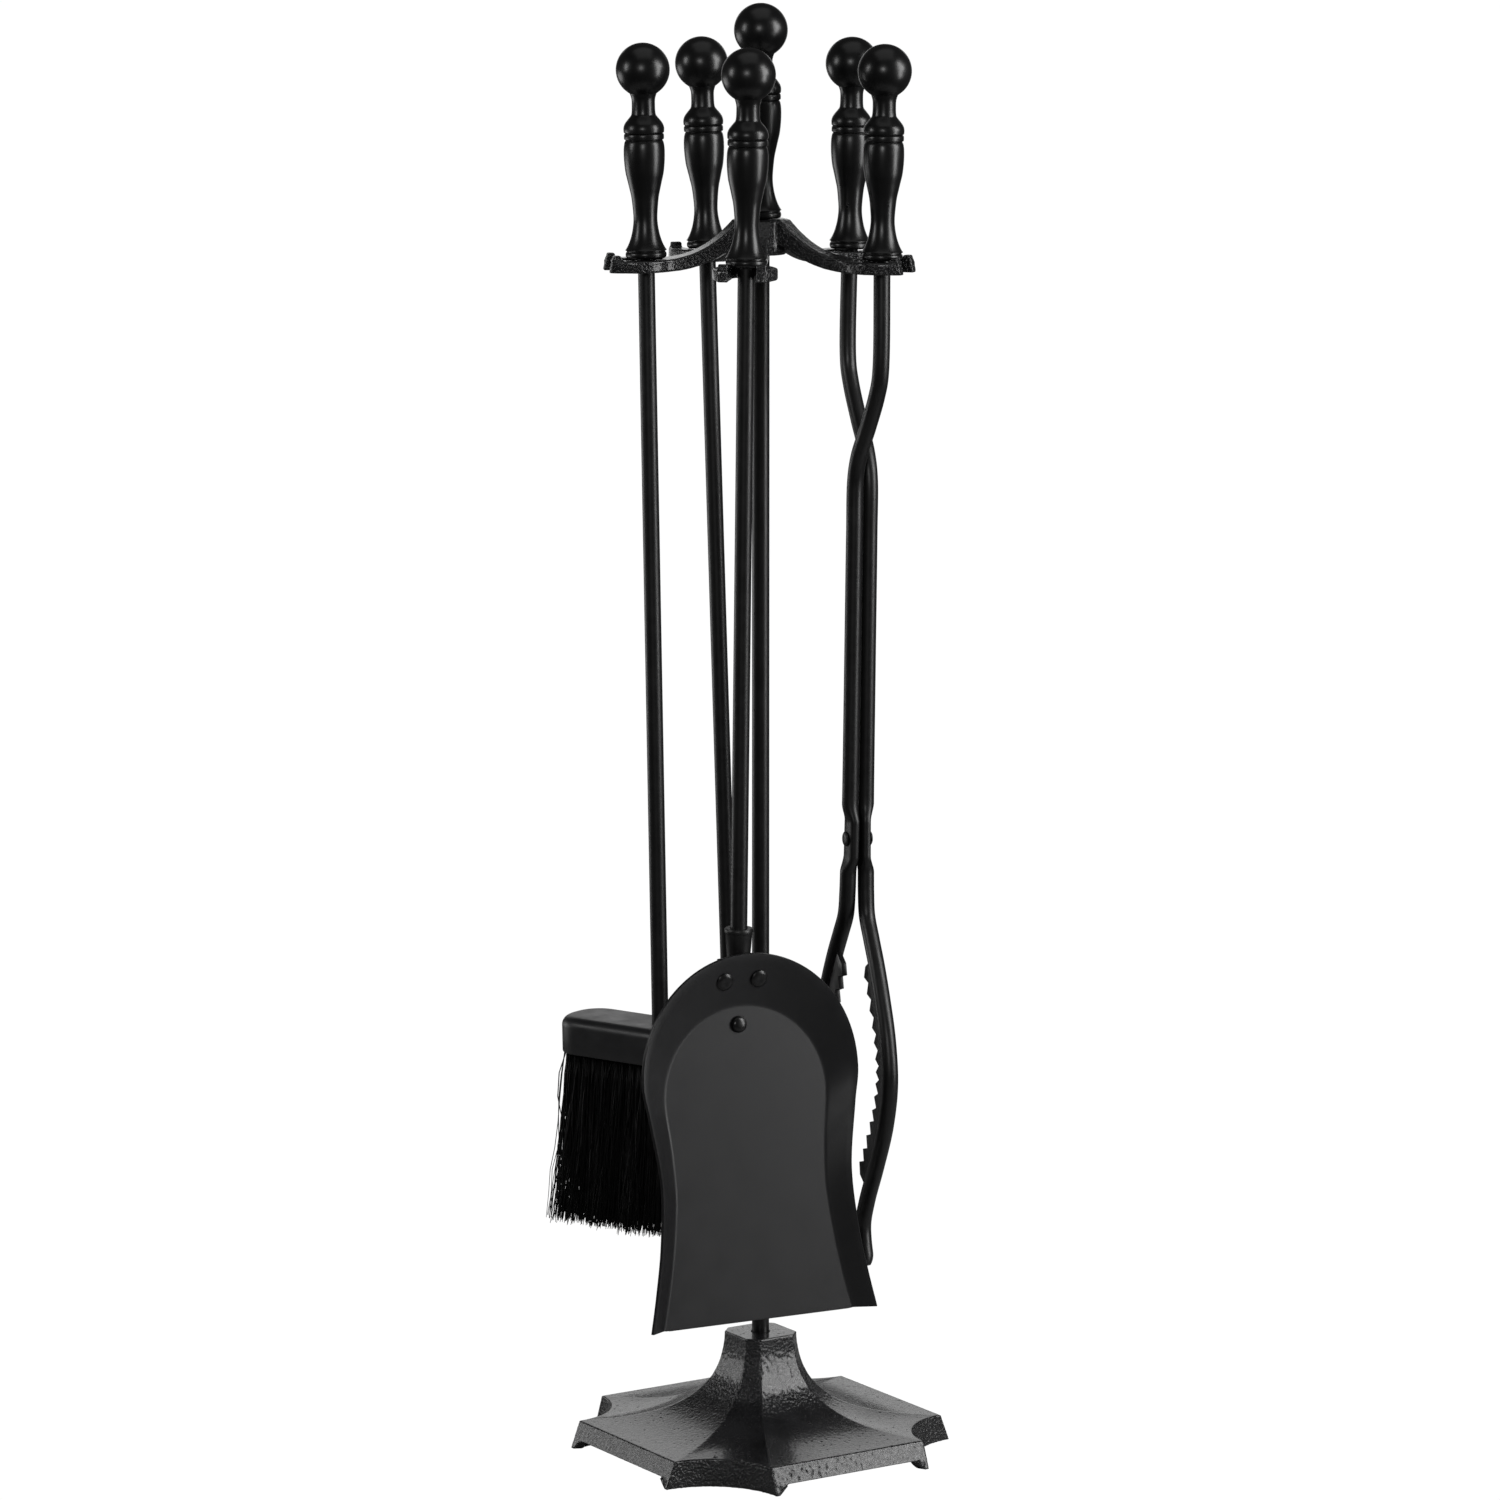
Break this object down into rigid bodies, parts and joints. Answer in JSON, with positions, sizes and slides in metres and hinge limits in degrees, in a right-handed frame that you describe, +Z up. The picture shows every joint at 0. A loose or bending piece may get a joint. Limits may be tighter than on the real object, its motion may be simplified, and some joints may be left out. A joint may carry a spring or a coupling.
{
  "type": "fireplace tool set",
  "caption": "Cast square stand with a forked crown that carries ball-handled hearth tools: brush, poker, shovel and scissor tongs.",
  "frame": {"origin": "middle of the whole set's footprint, on the floor", "axes": "+Z up along the pole; X and Y along the sides of the square base, the shovel to -Y"},
  "size_m": [0.2056, 0.1844, 0.7875],
  "materials": {
    "hammered_iron": "glossy black over a hammered casting",
    "satin_black": "smooth satin-gloss black",
    "pan_sheet": "satin dark charcoal powder coat",
    "block_grey": "satin dark grey",
    "bristle": "matt black fibre",
    "blackened_steel": "black oxide"
  },
  "bodies": {
    "stand": {"base_casting": "hammered_iron", "base_washer": "blackened_steel", "base_nut": "blackened_steel", "pole": "satin_black", "rack_casting": "hammered_iron", "stand_handle": "satin_black"},
    "brush": {"brush_handle": "satin_black", "brush_rod": "satin_black", "brush_block": "block_grey", "brush_bristles": "bristle"},
    "poker": {"poker_handle": "satin_black", "poker_rod": "satin_black", "poker_hook": "satin_black"},
    "shovel": {"shovel_handle": "satin_black", "shovel_rod": "satin_black", "shovel_socket": "satin_black", "shovel_pan": "pan_sheet", "pan_rivet_left": "satin_black", "pan_rivet_right": "satin_black", "pan_rivet_lower": "satin_black"},
    "tongs_pin": {"tongs_rivet": "satin_black"},
    "tongs_back": {"tongs_handle_back": "satin_black", "tongs_arm_back": "satin_black", "tongs_teeth_back": "satin_black"},
    "tongs_front": {"tongs_handle_front": "satin_black", "tongs_arm_front": "satin_black", "tongs_teeth_front": "satin_black"}
  },
  "joints": [
    {"name": "brush_lift", "type": "slide", "parent": "stand", "child": "brush", "axis": [-0.7595, 0.3069, 0.5736], "range_m": [0, 0.12]},
    {"name": "poker_lift", "type": "slide", "parent": "stand", "child": "poker", "axis": [0.0714, 0.816, 0.5736], "range_m": [0, 0.12]},
    {"name": "shovel_lift", "type": "slide", "parent": "stand", "child": "shovel", "axis": [-0.5265, -0.6275, 0.5736], "range_m": [0, 0.12]},
    {"name": "tongs_lift", "type": "slide", "parent": "stand", "child": "tongs_pin", "axis": [0.7492, -0.3312, 0.5736], "range_m": [0, 0.12]},
    {"name": "tongs_back_swing", "type": "hinge", "parent": "tongs_pin", "child": "tongs_back", "pos_m": [0.06152, -0.01822, 0.33602], "axis": [0.9736, -0.2281, -0.0103], "range_deg": [-12, 0]},
    {"name": "tongs_front_swing", "type": "hinge", "parent": "tongs_pin", "child": "tongs_front", "pos_m": [0.06152, -0.01822, 0.33602], "axis": [0.9736, -0.2281, -0.0103], "range_deg": [0, 12]}
  ],
  "couplings": [
    {"joint": "tongs_back_swing", "follows": "tongs_lift", "rad_per_m": -1.6901},
    {"joint": "tongs_front_swing", "follows": "tongs_lift", "rad_per_m": 1.6901}
  ]
}
